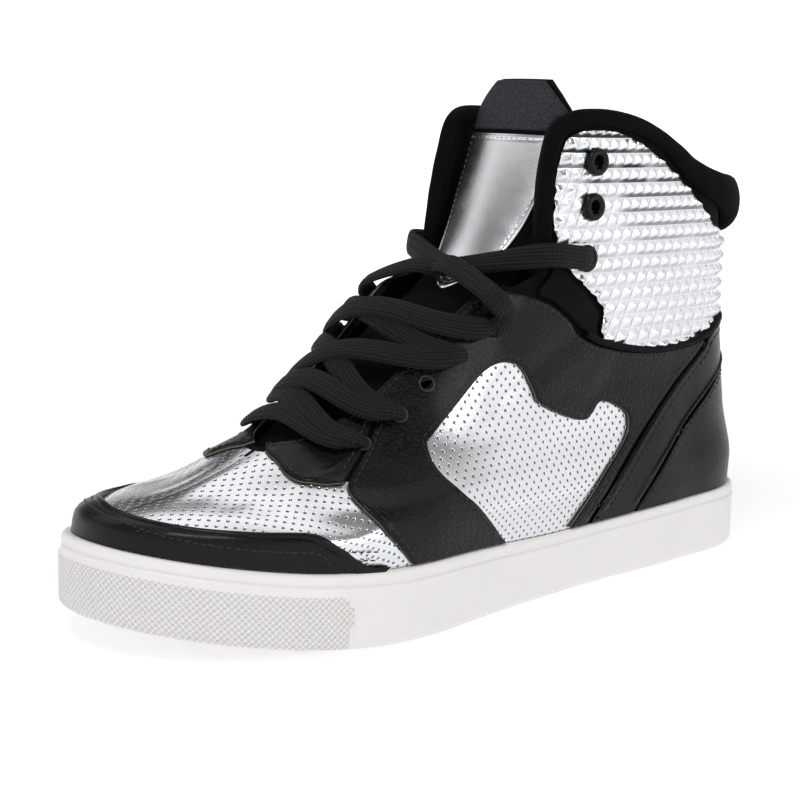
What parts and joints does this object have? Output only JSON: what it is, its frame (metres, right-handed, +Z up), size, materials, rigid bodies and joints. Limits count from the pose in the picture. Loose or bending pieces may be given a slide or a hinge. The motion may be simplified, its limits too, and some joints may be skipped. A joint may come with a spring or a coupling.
{
  "type": "high-top dance sneaker",
  "caption": "High-top lace-up dance sneaker, left foot: white cup sole, silver and black panelled upper, padded collar, standing tongue and flat laces.",
  "frame": {"origin": "middle of the heel's tread, on the floor", "axes": "+X from heel to toe, +Y to the outer side of the left foot, +Z up"},
  "size_m": [0.3032, 0.1092, 0.1832],
  "materials": {
    "white_rubber": "matte moulded rubber",
    "insole_foam": "brushed textile over foam",
    "silver_leather": "metallic foil finish, perforated",
    "black_leather": "semi-gloss, fine grain",
    "black_fabric": "matte padded textile",
    "silver_quilt": "metallic foil finish, embossed studs",
    "black_lace": "flat braid",
    "black_metal": "black lacquer, semi-gloss"
  },
  "bodies": {
    "root": {"cupsole": "white_rubber", "insole": "insole_foam", "upper": "silver_leather", "tongue": "black_leather", "tongue_badge": "silver_leather", "tongue_tip": "black_leather", "toe_cap": "black_leather", "throat_guard_lateral": "black_leather", "throat_guard_medial": "black_leather", "heel_strap": "black_leather", "heel_counter": "black_leather", "quarter_lateral": "black_leather", "quarter_medial": "black_leather", "collar_panel_lateral": "silver_quilt", "collar_panel_medial": "silver_quilt", "gusset_lateral": "black_fabric", "gusset_medial": "black_fabric", "collar_binding": "black_fabric", "pull_strip": "black_fabric", "lace_crossings": "black_lace", "lace_bar": "black_lace", "eyelet_top_lateral": "black_metal", "eyelet_top_medial": "black_metal", "eyelet_middle_lateral": "black_metal", "eyelet_middle_medial": "black_metal", "eyelet_low_lateral": "black_metal", "eyelet_low_medial": "black_metal"}
  },
  "joints": []
}
